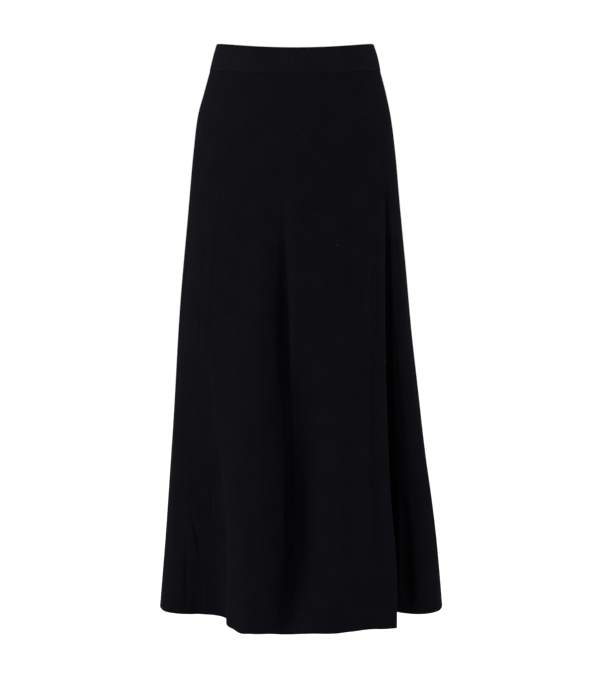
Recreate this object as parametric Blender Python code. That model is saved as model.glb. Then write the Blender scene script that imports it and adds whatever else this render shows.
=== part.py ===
"""A pull-on midi skirt in fine black knit, held open as if it were worn.

The skirt is a waistband over a front and a back panel, joined at two side seams. Every wall is worked out
from two tables: the rings of the body at a few heights, and the crests and hollows of the hem in plan.
Lengths in the tables are millimetres. Heights are measured down from the waistband's top edge at the sides,
X runs to the right seen from the front, and Y runs from front to back.
"""

import math
from collections import namedtuple

import bmesh
import bpy
import numpy as np

MM = 0.001  # one millimetre in the scene's metres
FULL_TURN = 360.0

SKIRT_LENGTH = 872.5
BAND_HEIGHT = 40.0
BAND_WALL = 3.2  # two plies of knit round an elastic
BAND_PROUD = 0.5  # how far the band's face stands out from the panels below it
BAND_ROUNDING = 1.2
BAND_TOP_DIP_FRONT = 9.2
BAND_TOP_DIP_BACK = 4.0
BAND_SEAM_DIP_FRONT = 6.6
BAND_SEAM_DIP_BACK = 2.0
BAND_COLUMNS = 64

CLOTH_WALL = 1.6  # the knit with its soft nap
HEM_WALL = 2.8  # the cloth is turned up inside
HEM_TURN_UP = 14.0
HEM_STEP = 2.0  # height over which the turned-up edge ends
SEAM_GAP = 0.3

FRONT_COLUMNS = 92
BACK_COLUMNS = 58
PANEL_ROWS = 21
ROW_CROWDING = 1.25  # above one, the rows lie closer at the hips than at the hem
BEND_REACH = 14.0  # a bend of one radian takes as many columns as this length of straight cloth
FINE_STEPS = 1600  # points along the hem from which the columns are chosen
PROBE = 0.5  # distance to each side at which the cloth's direction is read
SHARED_ROWS = 3  # rows of the folds' table repeated past each end, where the hem's line closes

FOLD_ONSET = 0.14  # share of a fold's height over which it swells from nothing

# Half widths and half depths of the body's ring at each height.
Section = namedtuple("Section", "below left right front back")
SECTIONS = (
    Section(0.0, 118.0, 118.5, 88.0, 88.0),
    Section(20.0, 123.6, 124.6, 89.8, 90.2),
    Section(40.0, 128.8, 129.2, 92.0, 93.0),
    Section(70.0, 137.2, 137.2, 97.0, 100.0),
    Section(110.0, 148.0, 145.8, 104.0, 110.0),
    Section(160.0, 154.2, 152.6, 109.0, 118.0),
    Section(240.0, 162.0, 160.2, 112.0, 122.0),
    Section(390.0, 176.4, 175.8, 115.0, 125.0),
    Section(575.0, 189.4, 199.2, 117.0, 127.0),
    Section(765.0, 203.6, 224.0, 119.0, 128.0),
    Section(SKIRT_LENGTH, 212.8, 231.3, 120.0, 129.0),
)

# Crests and hollows, from the right side seam round the front to the left seam and back round.
# turn: where the fold springs from on the body's ring, in degrees from the right side towards the front.
# x, y: where it stands at the hem. start: how far below the waist it begins.
Fold = namedtuple("Fold", "name turn x y start")
FRONT_FOLDS = (
    Fold("right_seam", 21.5, 231.3, 3.0, 300.0),
    Fold("right_lobe_side", 22.6, 227.0, -19.0, 260.0),
    Fold("right_lobe_front", 23.9, 211.0, -37.5, 230.0),
    Fold("right_lobe_crest", 25.6, 184.0, -43.5, 215.0),
    Fold("slot_lip", 27.3, 161.0, -33.0, 205.0),
    Fold("slot_back", 28.8, 146.0, -4.0, 195.0),
    Fold("slot_turn", 30.2, 129.0, -22.0, 195.0),
    Fold("fold_underside", 31.8, 133.0, -80.0, 205.0),
    Fold("fold_edge_inner", 33.2, 152.5, -111.0, 210.0),
    Fold("fold_edge", 34.6, 153.2, -119.5, 210.0),
    Fold("fold_edge_outer", 37.0, 145.0, -123.0, 210.0),
    Fold("right_dip", 43.0, 114.0, -126.0, 220.0),
    Fold("right_ridge", 52.0, 88.0, -137.5, 240.0),
    Fold("front_right", 65.0, 54.0, -149.5, 240.0),
    Fold("front_middle", 82.0, 20.0, -150.5, 240.0),
    Fold("front_valley", 96.0, -12.0, -148.5, 200.0),
    Fold("front_left", 110.0, -44.0, -151.0, 260.0),
    Fold("shoulder_crest", 119.0, -69.0, -149.5, 330.0),
    Fold("shoulder_turn", 128.0, -91.5, -128.0, 370.0),
    Fold("shoulder_wall", 134.0, -104.3, -98.0, 420.0),
    Fold("shoulder_foot", 137.0, -103.0, -74.0, 420.0),
    Fold("left_hollow", 142.0, -116.5, -54.0, 410.0),
    Fold("left_lobe_inner", 149.0, -142.0, -44.5, 390.0),
    Fold("left_lobe_crest", 158.0, -172.0, -43.0, 390.0),
    Fold("left_lobe_side", 168.0, -200.0, -31.5, 410.0),
    Fold("left_side", 180.0, -212.0, -2.0, 420.0),
    Fold("left_seam", 197.0, -207.0, 30.0, 400.0),
)
BACK_FOLDS = (
    Fold("back_left_side", 207.0, -192.0, 62.0, 360.0),
    Fold("back_left_crest", 217.0, -164.0, 84.0, 340.0),
    Fold("back_left_hollow", 229.0, -122.0, 84.0, 300.0),
    Fold("back_inner_rise", 238.0, -104.0, 112.0, 300.0),
    Fold("back_inner_crest", 248.0, -76.0, 139.0, 300.0),
    Fold("back_middle_hollow", 267.0, -18.0, 116.0, 280.0),
    Fold("back_middle_crest", 287.0, 44.0, 144.0, 300.0),
    Fold("back_right_fall", 300.0, 84.0, 128.0, 320.0),
    Fold("back_right_hollow", 313.0, 112.0, 94.0, 320.0),
    Fold("back_right_crest", 330.0, 164.0, 92.0, 340.0),
    Fold("back_right_side", 350.0, 212.0, 52.0, 330.0),
)

# Long soft troughs in a panel. fold: the fold that each one follows. bend: how far its middle lies to the
# left of that fold at its deepest. left, right: its half widths to either side, as lengths along the hem.
# Depths are largest at 'deepest' and die away at 'top' and 'bottom'.
Trough = namedtuple("Trough", "name fold shift bend left right depth top deepest bottom")
TROUGHS = (
    Trough("front_valley_trough", "front_valley", 1.0, 3.0, 27.0, 19.0, 20.0, 150.0, 500.0, 800.0),
    Trough("front_valley_foot", "front_valley", -5.0, 0.0, 40.0, 46.0, 37.0, 400.0, 782.0, 912.0),
    Trough("front_valley_mouth", "front_valley", 12.0, 0.0, 20.0, 20.0, 6.0, 350.0, 510.0, 620.0),
    Trough("front_valley_apron", "front_valley", -6.0, 0.0, 16.0, 66.0, 22.0, 270.0, 640.0, 902.0),
    Trough("front_valley_slope", "front_valley", -30.0, 0.0, 28.0, 46.0, 22.0, 380.0, 720.0, 884.0),
    Trough("right_dip_trough", "right_dip", 0.0, 0.0, 16.0, 16.0, 3.0, 360.0, 620.0, 900.0),
    Trough("right_slot_pocket", "slot_turn", 10.0, 0.0, 56.0, 56.0, 36.0, 180.0, 460.0, 830.0),
)

# Where a fold's middle stretch stands aside of its even course between its start and the hem. half_width:
# how far along the hem it reaches from the fold. aside: how far it moves to the right.
Sway = namedtuple("Sway", "name fold half_width aside top deepest bottom")
SWAYS = (
    Sway("right_fold_sway", "fold_edge", 90.0, -8.3, 150.0, 650.0, 830.0),
    Sway("shoulder_sway", "shoulder_foot", 75.0, 10.0, 460.0, 690.0, 900.0),
)

# Colour of the knit, as linear RGB.
KNIT_BLACK = (0.0065, 0.0060, 0.0090, 1.0)
BAND_BLACK = (0.0080, 0.0074, 0.0106, 1.0)
KNIT_ROUGHNESS = 0.9


def clear_scene():
    """Removes whatever the scene holds."""
    for thing in list(bpy.data.objects):
        bpy.data.objects.remove(thing, do_unlink=True)


def steady_slopes(knots, values):
    """The slope at each knot, never so steep that the curve overshoots. It is zero at a high or low point."""
    steps = np.diff(knots)
    rises = np.diff(values) / steps
    product = rises[:-1] * rises[1:]
    weighted = steps[1:] * rises[1:] + steps[:-1] * rises[:-1]
    turning = product <= 0.0
    inner = np.where(turning, 0.0, product * (steps[1:] + steps[:-1]) / np.where(turning, 1.0, weighted))
    return np.concatenate([[rises[0]], inner, [rises[-1]]])


def free_slopes(knots, values):
    """The slope at each knot of the parabola through it and its neighbours."""
    steps = np.diff(knots)
    rises = np.diff(values) / steps
    inner = (steps[1:] * rises[:-1] + steps[:-1] * rises[1:]) / (steps[1:] + steps[:-1])
    return np.concatenate([[rises[0]], inner, [rises[-1]]])


def smooth_read(knots, values, slope, at):
    """Reads a cubic curve through the values, with these slopes at the knots."""
    cell = np.clip(np.searchsorted(knots, at, side="right") - 1, 0, len(knots) - 2)
    width = knots[cell + 1] - knots[cell]
    t = np.clip((at - knots[cell]) / width, 0.0, 1.0)
    rise = t * t * (3.0 - 2.0 * t)
    lead = t * (1.0 - t) ** 2 * width
    trail = t * t * (t - 1.0) * width
    start, end = values[cell], values[cell + 1]
    return start + (end - start) * rise + slope[cell] * lead + slope[cell + 1] * trail


def ring_point(below, turn):
    """Where the body's ring lies at a height and a turn, as X and Y."""
    knots = np.array([s.below for s in SECTIONS])
    sizes = {}
    for side in ("left", "right", "front", "back"):
        values = np.array([getattr(s, side) for s in SECTIONS])
        sizes[side] = smooth_read(knots, values, steady_slopes(knots, values), below)
    angle = np.radians(turn)
    across, forward = np.cos(angle), np.sin(angle)
    x = across * np.where(across > 0.0, sizes["right"], sizes["left"])
    y = -forward * np.where(forward > 0.0, sizes["front"], sizes["back"])
    return np.stack([x, y], axis=-1)


class HemPlan:
    """The closed line of the hem seen from above, through every crest and hollow."""

    def __init__(self):
        ring = FRONT_FOLDS + BACK_FOLDS
        count = len(ring)
        order = range(-SHARED_ROWS, count + SHARED_ROWS + 1)
        rows = [ring[i % count] for i in order]
        self.plan = np.array([(f.x, f.y) for f in rows])
        self.turns = np.array([f.turn + i // count * FULL_TURN for f, i in zip(rows, order)])
        self.starts = np.array([f.start for f in rows])
        chord = np.linalg.norm(np.diff(self.plan, axis=0), axis=1)
        along = np.concatenate([[0.0], np.cumsum(chord)])
        self.knots = along - along[SHARED_ROWS]
        self.place = {f.name: self.knots[i + SHARED_ROWS] for i, f in enumerate(ring)}
        self.length = self.knots[count + SHARED_ROWS]

    def at(self, along):
        """Hem point, ring turn and fold start at a distance along the hem's knots."""
        k = self.knots
        xy = [smooth_read(k, self.plan[:, i], free_slopes(k, self.plan[:, i]), along) for i in (0, 1)]
        turn = smooth_read(k, self.turns, steady_slopes(k, self.turns), along)
        start = smooth_read(k, self.starts, steady_slopes(k, self.starts), along)
        return np.stack(xy, axis=-1), turn, start


def bell(t):
    """One at nought, and nothing beyond one either way."""
    return np.where(np.abs(t) < 1.0, 0.5 + 0.5 * np.cos(math.pi * np.clip(t, -1.0, 1.0)), 0.0)


def sway_aside(hem, along, below):
    """How far the sways move the cloth to the right."""
    aside = np.zeros(np.broadcast(along, below).shape)
    for s in SWAYS:
        reach = np.where(below < s.deepest, s.deepest - s.top, s.bottom - s.deepest)
        strength = bell((below - s.deepest) / reach)
        aside = aside + s.aside * strength * bell((along - hem.place[s.fold]) / s.half_width)
    return aside


def trough_depth(hem, along, below):
    """How far the troughs draw the cloth in."""
    depth = np.zeros(np.broadcast(along, below).shape)
    for t in TROUGHS:
        reach = np.where(below < t.deepest, t.deepest - t.top, t.bottom - t.deepest)
        strength = bell((below - t.deepest) / reach)
        middle = hem.place[t.fold] + t.shift + t.bend * strength
        aside = along - middle
        depth = depth + t.depth * strength * bell(aside / np.where(aside > 0.0, t.left, t.right))
    return depth


def cloth_point(hem, along, below):
    """A point of the skirt's outer face, in millimetres, at a place along the hem and a height."""
    hem_xy, turn, start = hem.at(along)
    share = np.clip((below - start) / (SKIRT_LENGTH - start), 0.0, 1.0)
    growth = (1.0 + FOLD_ONSET) * share**2 / (share + FOLD_ONSET)
    fold = hem_xy - ring_point(np.full_like(turn, SKIRT_LENGTH), turn)
    plan = ring_point(below, turn) + growth[..., None] * fold
    angle = np.radians(turn)
    outward = np.stack([np.cos(angle), -np.sin(angle)], axis=-1)
    plan = plan - trough_depth(hem, along, below)[..., None] * outward
    plan[..., 0] += sway_aside(hem, along, below)
    return np.concatenate([plan, -below[..., None]], axis=-1)


def dip(turn, front, back):
    """How far an edge dips at a turn: not at the sides, and most at the middle of the front or back."""
    forward = np.sin(np.radians(turn))
    return np.where(forward > 0.0, front, back) * forward**2


def choose_columns(hem, first, last, count):
    """Places along the hem, closest where it bends most."""
    fine = np.linspace(first, last, FINE_STEPS)
    run = np.diff(hem.at(fine)[0], axis=0)
    length = np.linalg.norm(run, axis=1)
    heading = np.unwrap(np.arctan2(run[:, 1], run[:, 0]))
    bend = np.abs(np.diff(heading, append=heading[-1]))
    effort = np.concatenate([[0.0], np.cumsum(length + BEND_REACH * bend)])
    return np.interp(np.linspace(0.0, effort[-1], count), effort, fine)


def along_and_out(hem, along, below):
    """Two level unit vectors at a point of the cloth: along the hem, and straight out of the face."""
    ahead = cloth_point(hem, along + PROBE, below)
    behind = cloth_point(hem, along - PROBE, below)
    run = (ahead - behind)[..., :2]
    run = run / np.linalg.norm(run, axis=-1, keepdims=True)
    level = np.zeros(run.shape[:-1] + (1,))
    out = np.stack([-run[..., 1], run[..., 0]], axis=-1)
    return np.concatenate([run, level], axis=-1), np.concatenate([out, level], axis=-1)


def finished_object(name, shape, collection, material):
    """An object of its own for a shape that is finished."""
    mesh = bpy.data.meshes.new(name)
    shape.to_mesh(mesh)
    shape.free()
    mesh.materials.append(material)
    thing = bpy.data.objects.new(name, mesh)
    collection.objects.link(thing)
    return thing


def ring_object(name, sections, collection, material):
    """A ring through closed sections, each a loop of points in millimetres, joined end to end."""
    ring = bmesh.new()
    loops = [[ring.verts.new(p * MM) for p in section] for section in sections]
    for here, following in zip(loops, loops[1:] + loops[:1]):
        for i in range(len(here)):
            j = (i + 1) % len(here)
            ring.faces.new((here[i], here[j], following[j], following[i]))
    return finished_object(name, ring, collection, material)


def walled_object(name, outer, inner, collection, material):
    """A closed wall between two grids of points, each a list of rows from the top down, in millimetres."""
    wall = bmesh.new()
    face, lining = [[[wall.verts.new(p * MM) for p in row] for row in grid] for grid in (outer, inner)]
    rows, columns = range(len(outer) - 1), range(len(outer[0]) - 1)
    for r in rows:
        for c in columns:
            wall.faces.new((face[r][c], face[r][c + 1], face[r + 1][c + 1], face[r + 1][c]))
            wall.faces.new((lining[r][c + 1], lining[r][c], lining[r + 1][c], lining[r + 1][c + 1]))
        wall.faces.new((lining[r][0], face[r][0], face[r + 1][0], lining[r + 1][0]))
        wall.faces.new((face[r][-1], lining[r][-1], lining[r + 1][-1], face[r + 1][-1]))
    for c in columns:
        wall.faces.new((lining[0][c], lining[0][c + 1], face[0][c + 1], face[0][c]))
        wall.faces.new((face[-1][c], face[-1][c + 1], lining[-1][c + 1], lining[-1][c]))
    return finished_object(name, wall, collection, material)


def make_panel(name, hem, first, last, columns, collection, material):
    """A panel from one side seam to the other, thicker where its hem is turned up inside."""
    along = choose_columns(hem, first, last, columns)
    turn = hem.at(along)[1]
    top = BAND_HEIGHT + SEAM_GAP + dip(turn, BAND_SEAM_DIP_FRONT, BAND_SEAM_DIP_BACK)
    turn_up = SKIRT_LENGTH - HEM_TURN_UP
    shares = np.linspace(0.0, 1.0, PANEL_ROWS) ** ROW_CROWDING
    rows = [(top + (turn_up - HEM_STEP - top) * share, CLOTH_WALL) for share in shares]
    rows += [(np.full_like(top, turn_up), HEM_WALL), (np.full_like(top, SKIRT_LENGTH), HEM_WALL)]
    outer, inner = [], []
    for below, wall in rows:
        points = cloth_point(hem, along, below)
        sideways, out = along_and_out(hem, along, below)
        points[0] += SEAM_GAP / 2 * sideways[0]
        points[-1] -= SEAM_GAP / 2 * sideways[-1]
        outer.append(points)
        inner.append(points - wall * out)
    return walled_object(name, outer, inner, collection, material)


def band_profile(height):
    """The band's section as (down from its top, in from its face), round from the foot of its face."""
    r, deep = BAND_ROUNDING, BAND_WALL
    near = r * (1.0 - math.sqrt(0.5))
    half = [(height - r, 0.0), (height * 2 / 3, 0.0), (height / 3, 0.0), (r, 0.0), (near, near), (0.0, r)]
    back = [(down, deep - inward) for down, inward in reversed(half)]
    foot = [(height - near, deep - near), (height, deep - r), (height, r), (height - near, near)]
    return half + back + foot


def make_waistband(collection, material):
    """The band: one ring, a little proud of the panels, with rounded edges."""
    turn = np.linspace(0.0, FULL_TURN, BAND_COLUMNS, endpoint=False)
    angle = np.radians(turn)
    outward = np.stack([np.cos(angle), -np.sin(angle), np.zeros_like(angle)], axis=-1)
    columns = []
    for t, out in zip(turn, outward):
        top = dip(t, BAND_TOP_DIP_FRONT, BAND_TOP_DIP_BACK)
        height = BAND_HEIGHT + dip(t, BAND_SEAM_DIP_FRONT, BAND_SEAM_DIP_BACK) - top
        down, inward = np.array(band_profile(height)).T
        plan = ring_point(top + down, np.full_like(down, t))
        face = np.concatenate([plan, -(top + down)[:, None]], axis=-1)
        columns.append(face + (BAND_PROUD - inward)[:, None] * out)
    return ring_object("waistband", columns, collection, material)


def knit_material(name, colour):
    """Matt knit of one colour."""
    material = bpy.data.materials.new(name)
    material.use_nodes = True
    shader = material.node_tree.nodes["Principled BSDF"]
    shader.inputs["Base Color"].default_value = colour
    shader.inputs["Roughness"].default_value = KNIT_ROUGHNESS
    shader.inputs["Metallic"].default_value = 0.0
    material.diffuse_color = colour
    return material


def main():
    """Builds the skirt's three pieces."""
    clear_scene()
    collection = bpy.data.collections.new("midi_skirt")
    bpy.context.scene.collection.children.link(collection)
    hem = HemPlan()
    right, left = 0.0, hem.place["left_seam"]
    front_knit = knit_material("front_knit", KNIT_BLACK)
    back_knit = knit_material("back_knit", KNIT_BLACK)
    band_knit = knit_material("band_knit", BAND_BLACK)
    make_panel("front_panel", hem, right, left, FRONT_COLUMNS, collection, front_knit)
    make_panel("back_panel", hem, left, hem.length, BACK_COLUMNS, collection, back_knit)
    make_waistband(collection, band_knit)


main()
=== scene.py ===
"""The looks of a pull-on midi skirt in fine black knit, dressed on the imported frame.

Each panel and the waistband become thin shells of knit on the form of their solids, with the turned-up hem,
the seams, the creases and the sewing. Lengths in the tables are millimetres. Heights are measured down from
the waistband's top edge at the sides, X runs to the right seen from the front, and Y from front to back.
"""

import math
from collections import namedtuple

import bpy
import numpy as np
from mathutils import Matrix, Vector


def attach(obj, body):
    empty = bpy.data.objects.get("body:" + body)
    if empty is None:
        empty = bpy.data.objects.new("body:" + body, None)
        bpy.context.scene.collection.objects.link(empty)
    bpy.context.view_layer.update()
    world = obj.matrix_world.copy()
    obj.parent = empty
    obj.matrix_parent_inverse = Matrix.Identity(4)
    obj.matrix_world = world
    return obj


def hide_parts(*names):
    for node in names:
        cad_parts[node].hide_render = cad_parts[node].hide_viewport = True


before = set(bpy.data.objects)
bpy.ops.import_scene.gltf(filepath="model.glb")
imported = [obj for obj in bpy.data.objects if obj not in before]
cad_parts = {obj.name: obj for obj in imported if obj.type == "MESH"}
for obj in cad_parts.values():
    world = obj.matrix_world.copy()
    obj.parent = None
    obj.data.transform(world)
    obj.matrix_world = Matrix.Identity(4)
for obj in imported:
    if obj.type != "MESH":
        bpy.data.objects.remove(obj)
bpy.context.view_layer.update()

MM = 0.001
FULL_TURN = 360.0

# ---- The form, as in the solids ----

SKIRT_LENGTH = 872.5
BAND_HEIGHT = 40.0
BAND_WALL = 3.2
BAND_PROUD = 0.5  # how far its face stands out from the panels
BAND_TOP_DIP_FRONT = 9.2
BAND_TOP_DIP_BACK = 4.0
BAND_SEAM_DIP_FRONT = 6.6
BAND_SEAM_DIP_BACK = 2.0
FOLD_ONSET = 0.14  # share of a fold's height over which it swells from nothing
BEND_REACH = 14.0  # a bend of one radian takes as many columns as this length of straight cloth
FINE_STEPS = 3000  # points along a panel's hem that others are read from
SHARED_ROWS = 3  # folds repeated past each end of the hem, which closes it

# Half widths and half depths of the body's ring at each height.
Section = namedtuple("Section", "below left right front back")
SECTIONS = (
    Section(0.0, 118.0, 118.5, 88.0, 88.0),
    Section(20.0, 123.6, 124.6, 89.8, 90.2),
    Section(40.0, 128.8, 129.2, 92.0, 93.0),
    Section(70.0, 137.2, 137.2, 97.0, 100.0),
    Section(110.0, 148.0, 145.8, 104.0, 110.0),
    Section(160.0, 154.2, 152.6, 109.0, 118.0),
    Section(240.0, 162.0, 160.2, 112.0, 122.0),
    Section(390.0, 176.4, 175.8, 115.0, 125.0),
    Section(575.0, 189.4, 199.2, 117.0, 127.0),
    Section(765.0, 203.6, 224.0, 119.0, 128.0),
    Section(SKIRT_LENGTH, 212.8, 231.3, 120.0, 129.0),
)

# Crests and hollows, from the right side seam round the front to the left seam and back round.
# turn: where the fold springs from on the body's ring, in degrees from the right side towards the front.
# x, y: where it stands at the hem. start: how far below the waist it begins.
Fold = namedtuple("Fold", "name turn x y start")
FRONT_FOLDS = (
    Fold("right_seam", 21.5, 231.3, 3.0, 300.0),
    Fold("right_lobe_side", 22.6, 227.0, -19.0, 260.0),
    Fold("right_lobe_front", 23.9, 211.0, -37.5, 230.0),
    Fold("right_lobe_crest", 25.6, 184.0, -43.5, 215.0),
    Fold("slot_lip", 27.3, 161.0, -33.0, 205.0),
    Fold("slot_back", 28.8, 146.0, -4.0, 195.0),
    Fold("slot_turn", 30.2, 129.0, -22.0, 195.0),
    Fold("fold_underside", 31.8, 133.0, -80.0, 205.0),
    Fold("fold_edge_inner", 33.2, 152.5, -111.0, 210.0),
    Fold("fold_edge", 34.6, 153.2, -119.5, 210.0),
    Fold("fold_edge_outer", 37.0, 145.0, -123.0, 210.0),
    Fold("right_dip", 43.0, 114.0, -126.0, 220.0),
    Fold("right_ridge", 52.0, 88.0, -137.5, 240.0),
    Fold("front_right", 65.0, 54.0, -149.5, 240.0),
    Fold("front_middle", 82.0, 20.0, -150.5, 240.0),
    Fold("front_valley", 96.0, -12.0, -148.5, 200.0),
    Fold("front_left", 110.0, -44.0, -151.0, 260.0),
    Fold("shoulder_crest", 119.0, -69.0, -149.5, 330.0),
    Fold("shoulder_turn", 128.0, -91.5, -128.0, 370.0),
    Fold("shoulder_wall", 134.0, -104.3, -98.0, 420.0),
    Fold("shoulder_foot", 137.0, -103.0, -74.0, 420.0),
    Fold("left_hollow", 142.0, -116.5, -54.0, 410.0),
    Fold("left_lobe_inner", 149.0, -142.0, -44.5, 390.0),
    Fold("left_lobe_crest", 158.0, -172.0, -43.0, 390.0),
    Fold("left_lobe_side", 168.0, -200.0, -31.5, 410.0),
    Fold("left_side", 180.0, -212.0, -2.0, 420.0),
    Fold("left_seam", 197.0, -207.0, 30.0, 400.0),
)
BACK_FOLDS = (
    Fold("back_left_side", 207.0, -192.0, 62.0, 360.0),
    Fold("back_left_crest", 217.0, -164.0, 84.0, 340.0),
    Fold("back_left_hollow", 229.0, -122.0, 84.0, 300.0),
    Fold("back_inner_rise", 238.0, -104.0, 112.0, 300.0),
    Fold("back_inner_crest", 248.0, -76.0, 139.0, 300.0),
    Fold("back_middle_hollow", 267.0, -18.0, 116.0, 280.0),
    Fold("back_middle_crest", 287.0, 44.0, 144.0, 300.0),
    Fold("back_right_fall", 300.0, 84.0, 128.0, 320.0),
    Fold("back_right_hollow", 313.0, 112.0, 94.0, 320.0),
    Fold("back_right_crest", 330.0, 164.0, 92.0, 340.0),
    Fold("back_right_side", 350.0, 212.0, 52.0, 330.0),
)

# Long soft troughs in a panel. fold: the fold that each one follows. shift: how far its middle lies to the
# left of that fold. bend: how much further it does at its deepest. left, right: its half widths to either
# side, as lengths along the hem. Depths are largest at 'deepest' and die away at 'top' and 'bottom'.
Trough = namedtuple("Trough", "name fold shift bend left right depth top deepest bottom")
TROUGHS = (
    Trough("front_valley_trough", "front_valley", 1.0, 3.0, 27.0, 19.0, 20.0, 150.0, 500.0, 800.0),
    Trough("front_valley_foot", "front_valley", -5.0, 0.0, 40.0, 46.0, 37.0, 400.0, 782.0, 912.0),
    Trough("front_valley_mouth", "front_valley", 12.0, 0.0, 20.0, 20.0, 6.0, 350.0, 510.0, 620.0),
    Trough("front_valley_apron", "front_valley", -6.0, 0.0, 16.0, 66.0, 22.0, 270.0, 640.0, 902.0),
    Trough("front_valley_slope", "front_valley", -30.0, 0.0, 28.0, 46.0, 22.0, 380.0, 720.0, 884.0),
    Trough("right_dip_trough", "right_dip", 0.0, 0.0, 16.0, 16.0, 3.0, 360.0, 620.0, 900.0),
    Trough("right_slot_pocket", "slot_turn", 10.0, 0.0, 56.0, 56.0, 36.0, 180.0, 460.0, 830.0),
)

# Where a fold's middle stretch stands aside of its even course between its start and the hem. half_width:
# how far along the hem it reaches from the fold. aside: how far it moves to the right.
Sway = namedtuple("Sway", "name fold half_width aside top deepest bottom")
SWAYS = (
    Sway("right_fold_sway", "fold_edge", 90.0, -8.3, 150.0, 650.0, 830.0),
    Sway("shoulder_sway", "shoulder_foot", 75.0, 10.0, 460.0, 690.0, 900.0),
)

# ---- The cloth's own sizes ----

KNIT_THICK = 1.2
HEM_THICK = 2.6
HEM_TURN_UP = 14.0
HEM_FADE = 3.0  # height over which the turned-up edge thins out inside
HEM_ROLL = 1.3  # radius of the fold along the bottom edge
HEM_PUCKER = 0.25  # how far the stitches draw the hem in
HEM_PUCKER_REACH = 4.0  # height above and below the stitches over which they do
LEAST_PLY = 0.02  # the cloth is nowhere thinner
SEAM_GAP = 0.3
SEAM_ROLL_DEPTH = 0.15  # how far a sewn edge turns in
SEAM_ROLL_WIDTH = 2.4
FRONT_COLUMNS = 361  # odd, as the inner face has every second one
BACK_COLUMNS = 301
CREASE_CROWDING = 11.0  # a crease narrower than this has closer columns
PANEL_ROWS = 141  # with those at its edges an odd number in all
EDGE_ROWS = 8  # extra rows at the top edge and round the hem, and twice as many over the turned-up part
BAND_COLUMNS = 320
BAND_ROWS = 15
BAND_FOOT = 0.25  # radius of the band's lower edges
BAND_SWELL = 0.35  # how far the band's face bulges between its edges
BAND_FACE_INSET = 0.06  # share of the band's height between an edge and the first row of its face
BAND_RADIUS = 104.0  # of a circle as long as the band
CORNER_STEPS = 6
# Unevenness of the band: how many waves go round it, their height and where they begin.
BandWave = namedtuple("BandWave", "count size phase")
BAND_WAVES = (
    BandWave(7, 0.16, 0.4),
    BandWave(11, 0.11, 2.2),
    BandWave(19, 0.06, 5.0),
)

STITCH_LINE = 13.0  # from the hem's edge to the middle of its two rows of stitches
STITCH_HEIGHTS = (11.6, 14.4)
STITCH_PITCH = 3.2
STITCH_LENGTH = 2.6
STITCH_WIDTH = 0.45
STITCH_DEPTH = 0.22  # from its middle line inwards and outwards
STITCH_PROUD = 0.05  # how far its middle line stands out of the cloth's face
STITCH_AIM = 0.5  # a stitch points to where its line is this much further on
# Along a stitch from end to end, as shares of its half length, with its girth there.
STITCH_SHAPE = ((-1.0, 0.2), (-0.7, 0.85), (0.0, 1.0), (0.7, 0.85), (1.0, 0.2))
# Round a stitch, as shares of its depth and of half its width: up, out, down and in.
STITCH_CORNERS = ((0.0, 1.0), (1.0, 0.0), (0.0, -1.0), (-1.0, 0.0))

# ---- Finish ----

WHITE = (1.0, 1.0, 1.0, 1.0)
KNIT_BLACK = (0.0060, 0.0055, 0.0082)
BAND_BLACK = (0.0075, 0.0069, 0.0100)
THREAD_BLACK = (0.0055, 0.0050, 0.0075)
LINT_COLOUR = (0.06, 0.06, 0.065, 1.0)
LINT_SIZE = 0.6  # radius of a speck
LINT_SCALE = 22.0  # cells in a metre
LINT_SHARE = 0.12  # of the cells hold a speck
KNIT_ROUGHNESS = 0.94
KNIT_ROUGHNESS_SPREAD = 0.12  # from the smoothest nap to the roughest
KNIT_CONTRAST = 0.6  # how much its grain darkens or lightens the knit
KNIT_SPECULAR = 0.02
KNIT_SHEEN = 0.008
KNIT_SHEEN_ROUGHNESS = 0.5
KNIT_WALE = 1.25  # width of one column of stitches
KNIT_COURSE = 0.95  # height of one row of stitches
KNIT_SLANT = 1.3  # courses that the arm of a V would rise over a whole wale
KNIT_LOOP_DEPTH = 0.22  # half of how far the relief dips between two rows, as a share of its height
BUMP_STRENGTH = 0.35
BUMP_HEIGHT = 0.2
THREAD_SCALE = 900.0
THREAD_CONTRAST = 0.3
THREAD_ROUGHNESS = 0.7
PAPER_COLOUR = (0.95, 0.95, 0.95, 1.0)
PAPER_ROUGHNESS = 0.9

# Soft noise. scale: cells in a metre. detail: layers of finer noise in it. share: how much of it is added.
Noise = namedtuple("Noise", "scale detail share")
NAP = Noise(1800.0, 3.0, 0.35)
GRAIN = Noise(340.0, 1.0, 0.95)
MOTTLE = Noise(24.0, 3.0, 0.42)
NOISE_MIDDLE = 0.5  # noise runs from nought to one

MIX_INPUTS = (0, 6, 7)  # the Mix node's sockets for its share and its two colours
MIX_OUTPUT = 2

# ---- Drape ----

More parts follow.
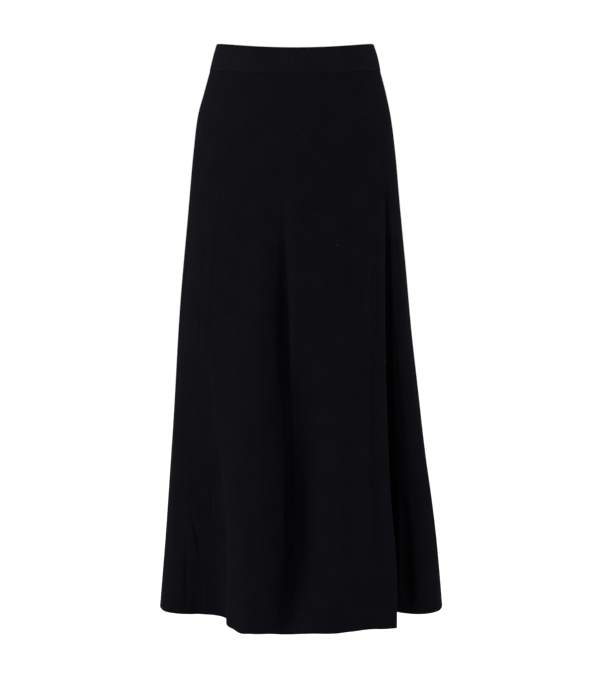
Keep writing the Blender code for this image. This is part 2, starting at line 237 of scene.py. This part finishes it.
# Creases that only the cloth has. Each follows a fold of the hem, shifted to the left by so many
# millimetres at its top and at its bottom. left, right: its half widths to either side, as lengths along
# the hem. Depth is inwards, so a ridge has a negative one. peak: where it is deepest, as a share of the
# way down.
Crease = namedtuple("Crease", "name fold top shift_top bottom shift_bottom left right depth peak")
CREASES = (
    Crease("valley_head", "front_valley", 170.0, -1.0, 480.0, 1.0, 8.0, 4.5, 4.0, 0.65),
    Crease("valley_core", "front_valley", 260.0, 0.0, 660.0, 3.0, 15.0, 7.5, 8.0, 0.50),
    Crease("valley_shelf", "front_left", 380.0, -6.0, 620.0, -16.0, 12.0, 14.0, 2.0, 0.62),
    Crease("valley_lower", "front_valley", 520.0, 2.0, 869.0, -4.0, 10.0, 12.0, 9.0, 0.60),
    Crease("valley_near_side", "front_valley", 420.0, 17.0, 869.0, 15.0, 22.0, 14.0, 3.0, 0.62),
    Crease("valley_foot", "front_valley", 740.0, 3.0, 872.0, 5.0, 16.0, 18.0, 9.0, 0.84),
    Crease("valley_thread", "front_valley", 600.0, -13.0, 740.0, -15.0, 2.6, 3.0, -0.4, 0.50),
    Crease("right_soft_dip", "front_right", 590.0, 8.0, 830.0, -8.0, 12.0, 12.0, 1.4, 0.45),
    Crease("right_stroke", "front_right", 630.0, 0.0, 740.0, -2.0, 3.0, 3.4, 0.8, 0.50),
    Crease("right_crest", "right_ridge", 400.0, 4.0, 790.0, -2.0, 10.0, 9.0, -1.2, 0.50),
    Crease("right_hip_dip", "right_dip", 190.0, 12.0, 660.0, 2.0, 12.0, 12.0, 1.3, 0.45),
    Crease("edge_dip", "right_dip", 620.0, -10.0, 840.0, -6.0, 12.0, 12.0, 1.2, 0.45),
    Crease("edge_welt", "fold_edge_outer", 230.0, -1.0, 640.0, -2.0, 4.0, 3.5, -0.5, 0.40),
    Crease("lobe_dent", "right_lobe_crest", 660.0, 22.0, 868.0, 8.0, 14.0, 16.0, 24.0, 0.76),
    Crease("left_diagonal", "left_lobe_inner", 668.0, 26.0, 812.0, -4.0, 3.4, 3.6, 2.0, 0.58),
    Crease("left_trough", "left_lobe_crest", 712.0, -3.0, 900.0, -5.0, 8.0, 6.5, 2.6, 0.62),
    Crease("left_low_line", "left_lobe_inner", 796.0, 8.0, 874.0, -4.0, 3.0, 3.2, 0.9, 0.45),
    Crease("left_short_line", "left_hollow", 650.0, 7.0, 740.0, 13.0, 3.2, 3.0, 1.2, 0.42),
    Crease("left_upper_line", "left_lobe_inner", 628.0, 18.0, 700.0, 12.0, 3.0, 3.0, 0.8, 0.50),
    Crease("left_side_line", "left_lobe_crest", 644.0, -6.0, 716.0, -8.0, 3.2, 3.2, 0.7, 0.50),
    Crease("left_streak", "left_lobe_side", 380.0, -2.0, 650.0, -10.0, 9.0, 8.0, 0.9, 0.50),
    Crease("left_inner_streak", "left_hollow", 360.0, 4.0, 560.0, 8.0, 8.0, 7.0, 0.8, 0.45),
    Crease("back_valley_core", "back_middle_hollow", 260.0, 3.0, 700.0, -4.0, 14.0, 9.0, 4.0, 0.50),
    Crease("back_valley_foot", "back_middle_hollow", 600.0, -6.0, 880.0, 4.0, 11.0, 12.0, 3.0, 0.45),
    Crease("back_left_diagonal", "back_left_hollow", 640.0, -12.0, 806.0, 10.0, 4.2, 3.6, 2.2, 0.55),
    Crease("back_left_trough", "back_left_crest", 560.0, 6.0, 860.0, -4.0, 10.0, 9.0, 1.8, 0.50),
    Crease("back_left_short", "back_left_hollow", 700.0, 8.0, 780.0, 14.0, 3.4, 3.0, 1.1, 0.45),
    Crease("back_right_dip", "back_middle_crest", 420.0, 14.0, 780.0, 6.0, 13.0, 11.0, 1.6, 0.50),
    Crease("back_right_stroke", "back_right_hollow", 560.0, -6.0, 720.0, 2.0, 4.0, 4.0, 1.5, 0.45),
    Crease("back_right_low", "back_right_crest", 700.0, 8.0, 872.0, 0.0, 8.0, 7.0, 1.8, 0.55),
    Crease("back_hip_dip", "back_inner_crest", 230.0, 6.0, 560.0, -4.0, 14.0, 12.0, 1.2, 0.50),
)

# Slow unevenness of the drape. wave: from ridge to ridge along the hem. lean: how far a ridge moves to the
# left over the skirt's length. fade: the height over which it comes and goes.
Ripple = namedtuple("Ripple", "wave lean fade size phase")
RIPPLES = (
    Ripple(61.0, 38.0, 520.0, 0.42, 0.3),
    Ripple(37.0, -24.0, 340.0, 0.26, 2.1),
    Ripple(23.0, 17.0, 260.0, 0.14, 4.4),
    Ripple(13.7, -9.0, 190.0, 0.06, 1.2),
)
RIPPLE_ONSET = 260.0  # height below the waistband over which the ripples grow

# Where the hem hangs lower than its even line, under the folds' weight. shift: how far along the hem to
# the left of the fold. left, right: half widths. drop: how much lower.
Sag = namedtuple("Sag", "name fold shift left right drop")
SAGS = (
    Sag("valley_sag", "front_valley", -3.0, 36.0, 42.0, 3.6),
    Sag("shoulder_sag", "shoulder_crest", 16.0, 20.0, 20.0, 2.2),
)
SAG_REACH = 260.0  # height above the hem over which the cloth stretches down to it

# ---- Cut ----

# A piece laid flat, as it is sewn: width and length in metres, and area in square metres.
Cut = namedtuple("Cut", "flat area")

# ---- Camera and light, in metres ----

CAMERA_PLACE = (0.0076, -2.6, -0.15)
CAMERA_PITCH = 6.555  # degrees below level
CAMERA_LENS = 90.06  # millimetres, as the sensor
SENSOR = 36.0
FLOOR_DROP = 0.2  # from the hem to the floor
FLOOR_SIZE = 14.0
FLOOR_GLOW = 0.6  # the white floor is lit from below

# Softboxes: place, size across and up in metres, power in watts.
Softbox = namedtuple("Softbox", "name place wide high power")
SOFTBOXES = (
    Softbox("left_box", (-2.1, -1.1, 0.9), 1.6, 2.4, 35.0),
    Softbox("right_box", (2.3, -0.6, 0.6), 1.4, 2.4, 18.0),
    Softbox("front_box", (-1.0, -2.6, 1.5), 1.6, 1.2, 6.0),
)
SKY = 0.48  # strength of the room's white light
BACKGROUND = 1.0  # what the camera sees past the floor's edge


def steady_slopes(knots, values):
    """The slope at each knot: zero at a high or low point, and never so steep that the curve overshoots."""
    steps = np.diff(knots)
    rises = np.diff(values) / steps
    product = rises[:-1] * rises[1:]
    weighted = steps[1:] * rises[1:] + steps[:-1] * rises[:-1]
    turning = product <= 0.0
    inner = np.where(turning, 0.0, product * (steps[1:] + steps[:-1]) / np.where(turning, 1.0, weighted))
    return np.concatenate([[rises[0]], inner, [rises[-1]]])


def free_slopes(knots, values):
    """The slope at each knot of the parabola through it and its neighbours."""
    steps = np.diff(knots)
    rises = np.diff(values) / steps
    inner = (steps[1:] * rises[:-1] + steps[:-1] * rises[1:]) / (steps[1:] + steps[:-1])
    return np.concatenate([[rises[0]], inner, [rises[-1]]])


def ease(t):
    """Rises smoothly from nought at nought to one at one."""
    return t * t * (3.0 - 2.0 * t)


def smooth_read(knots, values, slope, at):
    """Reads a cubic curve through the values, with these slopes at the knots."""
    cell = np.clip(np.searchsorted(knots, at, side="right") - 1, 0, len(knots) - 2)
    width = knots[cell + 1] - knots[cell]
    t = np.clip((at - knots[cell]) / width, 0.0, 1.0)
    lead = t * (1.0 - t) ** 2 * width
    trail = t * t * (t - 1.0) * width
    start, end = values[cell], values[cell + 1]
    return start + (end - start) * ease(t) + slope[cell] * lead + slope[cell + 1] * trail


def ring_point(below, turn):
    """Where the body's ring lies at a height and a turn, as X and Y."""
    knots = np.array([s.below for s in SECTIONS])
    sizes = {}
    for side in ("left", "right", "front", "back"):
        values = np.array([getattr(s, side) for s in SECTIONS])
        sizes[side] = smooth_read(knots, values, steady_slopes(knots, values), below)
    angle = np.radians(turn)
    across, forward = np.cos(angle), np.sin(angle)
    x = across * np.where(across > 0.0, sizes["right"], sizes["left"])
    y = -forward * np.where(forward > 0.0, sizes["front"], sizes["back"])
    return np.stack([x, y], axis=-1)


class HemPlan:
    """The closed line of the hem seen from above, through every crest and hollow."""

    def __init__(self):
        """Lines the folds up along the hem, by the straight distances between them."""
        ring = FRONT_FOLDS + BACK_FOLDS
        count = len(ring)
        order = range(-SHARED_ROWS, count + SHARED_ROWS + 1)
        rows = [ring[i % count] for i in order]
        self.plan = np.array([(f.x, f.y) for f in rows])
        self.turns = np.array([f.turn + i // count * FULL_TURN for f, i in zip(rows, order)])
        self.starts = np.array([f.start for f in rows])
        chord = np.linalg.norm(np.diff(self.plan, axis=0), axis=1)
        along = np.concatenate([[0.0], np.cumsum(chord)])
        self.knots = along - along[SHARED_ROWS]
        self.place = {f.name: self.knots[i + SHARED_ROWS] for i, f in enumerate(ring)}
        self.length = self.knots[count + SHARED_ROWS]

    def at(self, along):
        """Hem point, ring turn and fold start at a distance along the hem's knots."""
        k = self.knots
        xy = [smooth_read(k, self.plan[:, i], free_slopes(k, self.plan[:, i]), along) for i in (0, 1)]
        turn = smooth_read(k, self.turns, steady_slopes(k, self.turns), along)
        start = smooth_read(k, self.starts, steady_slopes(k, self.starts), along)
        return np.stack(xy, axis=-1), turn, start


def bell(t):
    """One at nought, and nothing beyond one either way."""
    return np.where(np.abs(t) < 1.0, 0.5 + 0.5 * np.cos(math.pi * np.clip(t, -1.0, 1.0)), 0.0)


def height_share(row, below):
    """One where a row of a table is deepest, and nothing above its top or below its bottom."""
    reach = np.where(below < row.deepest, row.deepest - row.top, row.bottom - row.deepest)
    return bell((below - row.deepest) / reach)


def width_share(row, aside):
    """One at a row's middle line, and nothing beyond its half width to the left or to the right of it."""
    return bell(aside / np.where(aside > 0.0, row.left, row.right))


def sway_aside(hem, along, below):
    """How far the sways move the cloth to the right."""
    aside = np.zeros(np.broadcast(along, below).shape)
    for s in SWAYS:
        near = bell((along - hem.place[s.fold]) / s.half_width)
        aside = aside + s.aside * height_share(s, below) * near
    return aside


def trough_depth(hem, along, below):
    """How far the troughs draw the cloth in."""
    depth = np.zeros(np.broadcast(along, below).shape)
    for t in TROUGHS:
        here = height_share(t, below)
        middle = hem.place[t.fold] + t.shift + t.bend * here
        depth = depth + t.depth * here * width_share(t, along - middle)
    return depth


def cloth_plan(hem, along, below):
    """X and Y of the skirt's outer face, in millimetres, at a place along the hem and a height."""
    hem_xy, turn, start = hem.at(along)
    share = np.clip((below - start) / (SKIRT_LENGTH - start), 0.0, 1.0)
    growth = (1.0 + FOLD_ONSET) * share**2 / (share + FOLD_ONSET)
    fold = hem_xy - ring_point(np.full_like(turn, SKIRT_LENGTH), turn)
    plan = ring_point(below, turn) + growth[..., None] * fold
    angle = np.radians(turn)
    outward = np.stack([np.cos(angle), -np.sin(angle)], axis=-1)
    plan = plan - trough_depth(hem, along, below)[..., None] * outward
    plan[..., 0] += sway_aside(hem, along, below)
    return plan


def dip(turn, front, back):
    """How far an edge dips at a turn: not at the sides, and most at the middle of the front or back."""
    forward = np.sin(np.radians(turn))
    return np.where(forward > 0.0, front, back) * forward**2


def choose_columns(hem, first, last, count):
    """Places along the hem, closest where it bends most and where a narrow crease runs."""
    fine = np.linspace(first, last, FINE_STEPS)
    run = np.diff(hem.at(fine)[0], axis=0)
    length = np.linalg.norm(run, axis=1)
    heading = np.unwrap(np.arctan2(run[:, 1], run[:, 0]))
    bend = np.abs(np.diff(heading, append=heading[-1]))
    crowding = np.ones(len(length))
    middle = (fine[1:] + fine[:-1]) / 2.0
    for c in CREASES:
        start = hem.place[c.fold]
        low, high = sorted((start + c.shift_top, start + c.shift_bottom))
        near = (middle > low - c.right) & (middle < high + c.left)
        crowding = np.maximum(crowding, np.where(near, CREASE_CROWDING / min(c.left, c.right), 1.0))
    effort = np.concatenate([[0.0], np.cumsum(length * crowding + BEND_REACH * bend)])
    return np.interp(np.linspace(0.0, effort[-1], count), effort, fine)


def crease_depth(hem, along, below):
    """How far the fine creases and the ripples draw the cloth in."""
    depth = np.zeros(along.shape)
    for c in CREASES:
        t = (below - c.top) / (c.bottom - c.top)
        reach = np.where(t < c.peak, c.peak, 1.0 - c.peak)
        middle = hem.place[c.fold] + c.shift_top + (c.shift_bottom - c.shift_top) * t
        depth = depth + c.depth * bell((t - c.peak) / reach) * width_share(c, along - middle)
    ripple = np.zeros(along.shape)
    for r in RIPPLES:
        across = math.tau * (along - r.lean * below / SKIRT_LENGTH) / r.wave + r.phase
        ripple = ripple + r.size * np.sin(across) * np.sin(math.tau * below / r.fade + 2.0 * r.phase)
    return depth + ripple * np.clip((below - BAND_HEIGHT) / RIPPLE_ONSET, 0.0, 1.0)


def hang(hem, along, below):
    """Heights below the waist, with the lowest stretch drawn down to where the hem sags."""
    drop = np.zeros(along.shape)
    for sag in SAGS:
        drop = drop + sag.drop * width_share(sag, along - hem.place[sag.fold] - sag.shift)
    return below + drop * np.clip((below - SKIRT_LENGTH + SAG_REACH) / SAG_REACH, 0.0, 1.0) ** 2


def level_normals(plan):
    """Level unit vectors straight out of the face, from a grid of X and Y with rows from the top down."""
    run = np.gradient(plan, axis=1)
    run /= np.linalg.norm(run, axis=-1, keepdims=True)
    return np.stack([-run[..., 1], run[..., 0]], axis=-1)


def panel_heights(top):
    """Heights of the rows for each column: fine at the top edge and round the hem, even between."""
    hem_start = SKIRT_LENGTH - HEM_TURN_UP - 2 * HEM_FADE
    edge = np.linspace(0.0, SEAM_ROLL_WIDTH, EDGE_ROWS, endpoint=False)
    body = np.linspace(0.0, 1.0, PANEL_ROWS)
    upper = [top + e for e in edge]
    middle = [top + SEAM_ROLL_WIDTH + (hem_start - top - SEAM_ROLL_WIDTH) * s for s in body]
    lower = np.linspace(hem_start, SKIRT_LENGTH - HEM_ROLL, 2 * EDGE_ROWS)[1:]
    roll = SKIRT_LENGTH - HEM_ROLL * (1.0 - np.sin(np.linspace(0.0, math.pi / 2, EDGE_ROWS))[1:])
    return np.stack(upper + middle + [np.full_like(top, h) for h in list(lower) + list(roll)])


def edge_roll(distance, width, depth):
    """How far cloth turns in at a distance from a sewn edge."""
    t = np.clip(distance / width, 0.0, 1.0)
    return depth * (1.0 - np.sqrt(1.0 - (1.0 - t) ** 2))


def cloth_rows(hem, along, below):
    """The outer face in plan, its level normals, how far it is sunk, and its distance along each row."""
    plan = cloth_plan(hem, along, below)
    out = level_normals(plan)
    step = np.linalg.norm(np.diff(plan, axis=1), axis=-1)
    run = np.concatenate([np.zeros((len(below), 1)), np.cumsum(step, axis=1)], axis=1)
    sunk = crease_depth(hem, along, below)
    sunk += HEM_PUCKER * bell((below - SKIRT_LENGTH + STITCH_LINE) / HEM_PUCKER_REACH)
    return plan, out, sunk, run


def panel_shell(name, hem, first, last, columns):
    """A closed thin shell of one panel, with the cloth's own distances as its UV map."""
    along = choose_columns(hem, first, last, columns)
    turn = hem.at(along)[1]
    top = BAND_HEIGHT + SEAM_GAP + dip(turn, BAND_SEAM_DIP_FRONT, BAND_SEAM_DIP_BACK)
    below = panel_heights(top)
    plan, out, sunk, run = cloth_rows(hem, np.broadcast_to(along, below.shape), below)
    width = run[:, -1:]
    hem_turn = edge_roll(SKIRT_LENGTH - below, HEM_ROLL, HEM_ROLL)
    outer_sunk = sunk + hem_turn + edge_roll(below - top, SEAM_ROLL_WIDTH, SEAM_ROLL_DEPTH)
    for distance in (run, width - run):
        outer_sunk += edge_roll(distance, SEAM_ROLL_WIDTH, SEAM_ROLL_DEPTH)
    turned = np.clip((below - (SKIRT_LENGTH - HEM_TURN_UP - HEM_FADE)) / HEM_FADE, 0.0, 1.0)
    thick = KNIT_THICK + (HEM_THICK - KNIT_THICK) * ease(turned)
    inner_sunk = np.maximum(sunk + thick - hem_turn, outer_sunk + LEAST_PLY)
    hung = hang(hem, np.broadcast_to(along, below.shape), below)
    outer = np.dstack([plan - out * outer_sunk[..., None], -hung])
    inner = np.dstack([plan - out * inner_sunk[..., None], -hung])
    flat = np.dstack([run - width / 2.0, -below])
    return shell_object(name, outer, inner, flat)


def shell_object(name, outer, inner, flat):
    """A closed shell between two grids. The inner one is thinned to every second row and column."""
    inner, inner_flat = inner[::2, ::2], flat[::2, ::2]
    face = np.arange(outer.shape[0] * outer.shape[1]).reshape(outer.shape[:2])
    lining = np.arange(inner.shape[0] * inner.shape[1]).reshape(inner.shape[:2]) + face.size
    faces = grid_faces(face) + grid_faces(lining[:, ::-1])
    edges = (
        (face[::-1, 0], lining[::-1, 0]),
        (face[:, -1], lining[:, -1]),
        (face[0], lining[0]),
        (face[-1, ::-1], lining[-1, ::-1]),
    )
    # A face of the rim joins two steps of the outer grid to one of the inner.
    for fine, coarse in edges:
        rim = (fine[:-2:2], coarse[:-1], coarse[1:], fine[2::2], fine[1:-1:2])
        faces += np.stack(rim, axis=-1).tolist()
    points = np.concatenate([outer.reshape(-1, 3), inner.reshape(-1, 3)]) * MM
    flat = np.concatenate([flat.reshape(-1, 2), inner_flat.reshape(-1, 2)]) * MM
    return mesh_object(name, points, faces, flat)


def grid_faces(index):
    """Four-sided faces between neighbouring rows and columns of a grid of point numbers."""
    corners = (index[:-1, :-1], index[:-1, 1:], index[1:, 1:], index[1:, :-1])
    return np.stack(corners, axis=-1).reshape(-1, 4).tolist()


def mesh_object(name, points, faces, flat):
    """An object from points in metres, faces, and each point's place on the flat cloth."""
    mesh = bpy.data.meshes.new(name)
    mesh.from_pydata(points.tolist(), [], faces)
    corners = np.empty(len(mesh.loops), dtype=np.int32)
    mesh.loops.foreach_get("vertex_index", corners)
    mesh.uv_layers.new(name="cloth").data.foreach_set("uv", flat[corners].astype(np.float32).ravel())
    mesh.shade_smooth()
    thing = bpy.data.objects.new(name, mesh)
    bpy.context.scene.collection.objects.link(thing)
    return thing


def band_profile():
    """The band's section, round from the middle of its top: down, in from its face, share of its height."""
    corner = np.linspace(0.0, math.pi / 2.0, CORNER_STEPS)
    half = BAND_WALL / 2.0
    top = [(half * (1.0 - math.sin(a)), half * (1.0 - math.cos(a)), 0.0) for a in corner]
    foot = [(-BAND_FOOT * (1.0 - math.cos(a)), BAND_FOOT * (1.0 - math.sin(a)), 1.0) for a in corner[::-1]]
    shares = np.linspace(BAND_FACE_INSET, 1.0 - BAND_FACE_INSET, BAND_ROWS)
    face = [(0.0, 0.0, share) for share in shares]
    outside = top + face + foot
    inside = [(down, BAND_WALL - inward, share) for down, inward, share in reversed(outside)]
    return outside + inside[:-1]


def band_shell(name):
    """The waistband: two plies of knit round an elastic, a little uneven along its length."""
    turn = np.linspace(0.0, FULL_TURN, BAND_COLUMNS, endpoint=False)
    top = dip(turn, BAND_TOP_DIP_FRONT, BAND_TOP_DIP_BACK)
    foot = BAND_HEIGHT + dip(turn, BAND_SEAM_DIP_FRONT, BAND_SEAM_DIP_BACK)
    angle = np.radians(turn)
    out = np.stack([np.cos(angle), -np.sin(angle)], axis=-1)
    wave = sum(w.size * np.sin(w.count * angle + w.phase) for w in BAND_WAVES)
    loops, flat = [], []
    for down, inward, share in band_profile():
        below = top + (foot - top) * share + down
        bulge = math.sin(math.pi * share)
        swell = BAND_SWELL * bulge if inward < BAND_WALL / 2.0 else 0.0
        plan = ring_point(below, turn) + (BAND_PROUD - inward + swell + wave * bulge)[:, None] * out
        loops.append(np.concatenate([plan, -below[:, None]], axis=-1))
        flat.append(np.stack([angle * BAND_RADIUS, -below], axis=-1))
    rows = len(loops)
    index = np.arange(rows * BAND_COLUMNS).reshape(rows, BAND_COLUMNS)
    index = np.concatenate([index, index[:1]])
    index = np.concatenate([index, index[:, :1]], axis=1)
    return mesh_object(name, np.concatenate(loops) * MM, grid_faces(index), np.concatenate(flat) * MM)


def stitch_rows(name, hem, first, last):
    """Two rows of small stitches that hold the turned-up hem."""
    along = np.linspace(first, last, FINE_STEPS)
    points, faces = [], []
    stations, sides = len(STITCH_SHAPE), len(STITCH_CORNERS)
    index = np.arange(stations * sides).reshape(stations, sides)
    ends = [index[0].tolist(), index[-1, ::-1].tolist()]
    one = grid_faces(np.concatenate([index, index[:, :1]], axis=1)[:, ::-1]) + ends
    for height in STITCH_HEIGHTS:
        below = np.full((1, FINE_STEPS), SKIRT_LENGTH - height)
        plan, out, sunk, run = cloth_rows(hem, along[None], below)
        line = (plan - out * (sunk[..., None] - STITCH_PROUD))[0]
        hung = hang(hem, along, below[0])
        middles = np.arange(STITCH_PITCH, run[0, -1] - STITCH_PITCH / 2.0, STITCH_PITCH)
        for place in middles:
            aim = [place, place + STITCH_AIM]
            here, ahead = np.stack([np.interp(aim, run[0], line[:, i]) for i in (0, 1)], axis=-1)
            level = -np.interp(place, run[0], hung)
            way = (ahead - here) / np.linalg.norm(ahead - here)
            side = np.array([-way[1], way[0]])
            base = len(points)
            for shift, girth in STITCH_SHAPE:
                for outwards, up in STITCH_CORNERS:
                    xy = here + way * shift * STITCH_LENGTH / 2.0 + side * outwards * girth * STITCH_DEPTH
                    points.append((xy[0], xy[1], level + up * girth * STITCH_WIDTH / 2.0))
            faces += [[base + i for i in f] for f in one]
    points = np.array(points) * MM
    return mesh_object(name, points, faces, points[:, [0, 2]])


class Nodes:
    """Adds shader nodes to one material."""

    def __init__(self, name):
        """Makes the material, with its shader."""
        self.material = bpy.data.materials.new(name)
        self.material.use_nodes = True
        self.tree = self.material.node_tree
        self.shader = self.tree.nodes["Principled BSDF"]

    def put(self, socket, value):
        """Links a socket to an input, or sets the input's number."""
        if isinstance(value, bpy.types.NodeSocket):
            self.tree.links.new(value, socket)
        else:
            socket.default_value = value

    def add(self, kind, **values):
        """A new node of a kind, with these of its inputs filled."""
        node = self.tree.nodes.new("ShaderNode" + kind)
        for socket, value in values.items():
            self.put(node.inputs[socket], value)
        return node

    def math(self, operation, *values):
        """The result of one sum, with a number or another node's output for each of its values."""
        node = self.add("Math")
        node.operation = operation
        for socket, value in zip(node.inputs, values):
            self.put(socket, value)
        return node.outputs[0]

    def noise(self, place, kind):
        """Noise of one kind at a place."""
        return self.add("TexNoise", Vector=place, Scale=kind.scale, Detail=kind.detail).outputs["Fac"]

    def mix(self, share, first, second):
        """A colour between two others, nearer to the second with a larger share."""
        node = self.add("Mix")
        node.data_type = "RGBA"
        for socket, value in zip(MIX_INPUTS, (share, first, second)):
            self.put(node.inputs[socket], value)
        return node.outputs[MIX_OUTPUT]


def shade(colour, strength):
    """A colour made lighter or darker."""
    return tuple(c * strength for c in colour) + (1.0,)


def knit_relief(n, place, nap):
    """Columns of small V stitches under a soft nap, as a bump on the shader."""
    split = n.add("SeparateXYZ", Vector=place)
    wale = n.math("DIVIDE", split.outputs["X"], KNIT_WALE * MM)
    course = n.math("DIVIDE", split.outputs["Y"], KNIT_COURSE * MM)
    aside = n.math("ABSOLUTE", n.math("SUBTRACT", n.math("FRACT", wale), 0.5))
    slant = n.math("ADD", course, n.math("MULTIPLY", aside, KNIT_SLANT))
    wave = n.math("COSINE", n.math("MULTIPLY", slant, math.tau))
    loop = n.math("MULTIPLY_ADD", wave, KNIT_LOOP_DEPTH, 1.0 - KNIT_LOOP_DEPTH)
    # A ridge is one high along a wale's middle and nought at its edges, a half to either side.
    ridge = n.math("SUBTRACT", 1.0, n.math("MULTIPLY", n.math("POWER", aside, 2.0), 4.0))
    height = n.math("MULTIPLY_ADD", nap, NAP.share, n.math("MULTIPLY", ridge, loop))
    bump = n.add("Bump", Strength=BUMP_STRENGTH, Distance=BUMP_HEIGHT * MM, Height=height)
    n.put(n.shader.inputs["Normal"], bump.outputs["Normal"])


def lint_specks(n, place):
    """One where a speck of lint lies, and nought elsewhere."""
    cell = n.add("TexVoronoi", Vector=place, Scale=LINT_SCALE)
    draw = n.add("SeparateColor", Color=cell.outputs["Color"]).outputs["Red"]
    near = n.math("LESS_THAN", cell.outputs["Distance"], LINT_SIZE * MM * LINT_SCALE)
    return n.math("MULTIPLY", near, n.math("GREATER_THAN", draw, 1.0 - LINT_SHARE))


def knit_material(name, colour):
    """Fine jersey: columns of small V stitches, a soft nap, mottled black, and a little lint."""
    n = Nodes(name)
    uv = n.add("UVMap")
    uv.uv_map = "cloth"
    place = uv.outputs["UV"]
    nap = n.noise(place, NAP)
    knit_relief(n, place, nap)
    share = NOISE_MIDDLE
    for kind in (GRAIN, MOTTLE):
        off_middle = n.math("SUBTRACT", n.noise(place, kind), NOISE_MIDDLE)
        share = n.math("MULTIPLY_ADD", off_middle, kind.share, share)
    knit = n.mix(share, shade(colour, 1.0 - KNIT_CONTRAST), shade(colour, 1.0 + KNIT_CONTRAST))
    n.put(n.shader.inputs["Base Color"], n.mix(lint_specks(n, place), knit, LINT_COLOUR))
    smoothest = KNIT_ROUGHNESS - KNIT_ROUGHNESS_SPREAD / 2.0
    rough = n.math("MULTIPLY_ADD", nap, KNIT_ROUGHNESS_SPREAD, smoothest)
    n.put(n.shader.inputs["Roughness"], rough)
    n.shader.inputs["Specular IOR Level"].default_value = KNIT_SPECULAR
    n.shader.inputs["Sheen Weight"].default_value = KNIT_SHEEN
    n.shader.inputs["Sheen Roughness"].default_value = KNIT_SHEEN_ROUGHNESS
    return n.material


def thread_material(name, colour):
    """Twisted sewing thread."""
    n = Nodes(name)
    twist = n.add("TexWave", Vector=n.add("TexCoord").outputs["Object"], Scale=THREAD_SCALE)
    twist.bands_direction = "DIAGONAL"
    dark, light = shade(colour, 1.0 - THREAD_CONTRAST), shade(colour, 1.0 + THREAD_CONTRAST)
    n.put(n.shader.inputs["Base Color"], n.mix(twist.outputs["Fac"], dark, light))
    n.shader.inputs["Roughness"].default_value = THREAD_ROUGHNESS
    n.shader.inputs["Specular IOR Level"].default_value = KNIT_SPECULAR
    return n.material


def paper_material(name):
    """White paper, lit from below."""
    n = Nodes(name)
    n.shader.inputs["Base Color"].default_value = PAPER_COLOUR
    n.shader.inputs["Roughness"].default_value = PAPER_ROUGHNESS
    n.shader.inputs["Emission Color"].default_value = WHITE
    n.shader.inputs["Emission Strength"].default_value = FLOOR_GLOW
    return n.material


def make_floor():
    """The pale floor below the hem. It lights nothing."""
    mesh = bpy.data.meshes.new("floor")
    half, drop = FLOOR_SIZE / 2, -SKIRT_LENGTH * MM - FLOOR_DROP
    corners = [(-half, -half, drop), (half, -half, drop), (half, half, drop), (-half, half, drop)]
    mesh.from_pydata(corners, [], [(0, 1, 2, 3)])
    mesh.materials.append(paper_material("white_paper"))
    floor = bpy.data.objects.new("floor", mesh)
    bpy.context.scene.collection.objects.link(floor)
    floor.visible_diffuse = False
    floor.visible_glossy = False


def make_softboxes():
    """The softboxes, turned to the skirt's middle."""
    middle = Vector((0.0, 0.0, -SKIRT_LENGTH * MM / 2))
    for box in SOFTBOXES:
        light = bpy.data.lights.new(box.name, "AREA")
        light.shape = "RECTANGLE"
        light.size, light.size_y = box.wide, box.high
        light.energy = box.power
        lamp = bpy.data.objects.new(box.name, light)
        lamp.location = box.place
        lamp.rotation_euler = (middle - lamp.location).to_track_quat("-Z", "Y").to_euler()
        bpy.context.scene.collection.objects.link(lamp)


def make_room():
    """White light from all round, and a white that only the camera sees."""
    world = bpy.data.worlds.new("room")
    bpy.context.scene.world = world
    world.use_nodes = True
    nodes, links = world.node_tree.nodes, world.node_tree.links
    light_part = nodes["Background"]
    seen = nodes.new("ShaderNodeBackground")
    for part, strength in ((light_part, SKY), (seen, BACKGROUND)):
        part.inputs["Color"].default_value = WHITE
        part.inputs["Strength"].default_value = strength
    path = nodes.new("ShaderNodeLightPath")
    mix = nodes.new("ShaderNodeMixShader")
    links.new(path.outputs["Is Camera Ray"], mix.inputs["Fac"])
    links.new(light_part.outputs["Background"], mix.inputs[1])
    links.new(seen.outputs["Background"], mix.inputs[2])
    links.new(mix.outputs["Shader"], nodes["World Output"].inputs["Surface"])


def make_camera():
    """The photo's camera, in front of the skirt and a little above its middle."""
    camera = bpy.data.cameras.new("camera")
    camera.lens = CAMERA_LENS
    camera.sensor_width = SENSOR
    eye = bpy.data.objects.new("camera", camera)
    eye.location = CAMERA_PLACE
    eye.rotation_euler = (math.radians(90.0 - CAMERA_PITCH), 0.0, 0.0)
    scene = bpy.context.scene
    scene.collection.objects.link(eye)
    scene.camera = eye
    scene.view_settings.view_transform = "Standard"


def dress(piece, node, material):
    """Puts a piece of cloth in the place of its node."""
    piece.data.materials.append(material)
    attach(piece, "root")
    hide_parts(node)


def main():
    """Makes the studio, the sewing and the cloth."""
    make_floor()
    make_softboxes()
    make_room()
    make_camera()
    hem = HemPlan()
    left = hem.place["left_seam"]
    thread = thread_material("sewing_thread", THREAD_BLACK)
    sewing = {}
    for side, first, last in (("front", 0.0, left), ("back", left, hem.length)):
        sewing[side] = stitch_rows(side + "_hem_stitches", hem, first, last)
        sewing[side].data.materials.append(thread)
        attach(sewing[side], "root")
    front = panel_shell("front_cloth", hem, 0.0, left, FRONT_COLUMNS)
    back = panel_shell("back_cloth", hem, left, hem.length, BACK_COLUMNS)
    waistband = band_shell("waistband_cloth")
    front_knit = knit_material("front_knit_finish", KNIT_BLACK)
    back_knit = knit_material("back_knit_finish", KNIT_BLACK)
    band_knit = knit_material("band_knit_finish", BAND_BLACK)
    dress(front, "front_panel", front_knit)
    dress(back, "back_panel", back_knit)
    dress(waistband, "waistband", band_knit)


main()
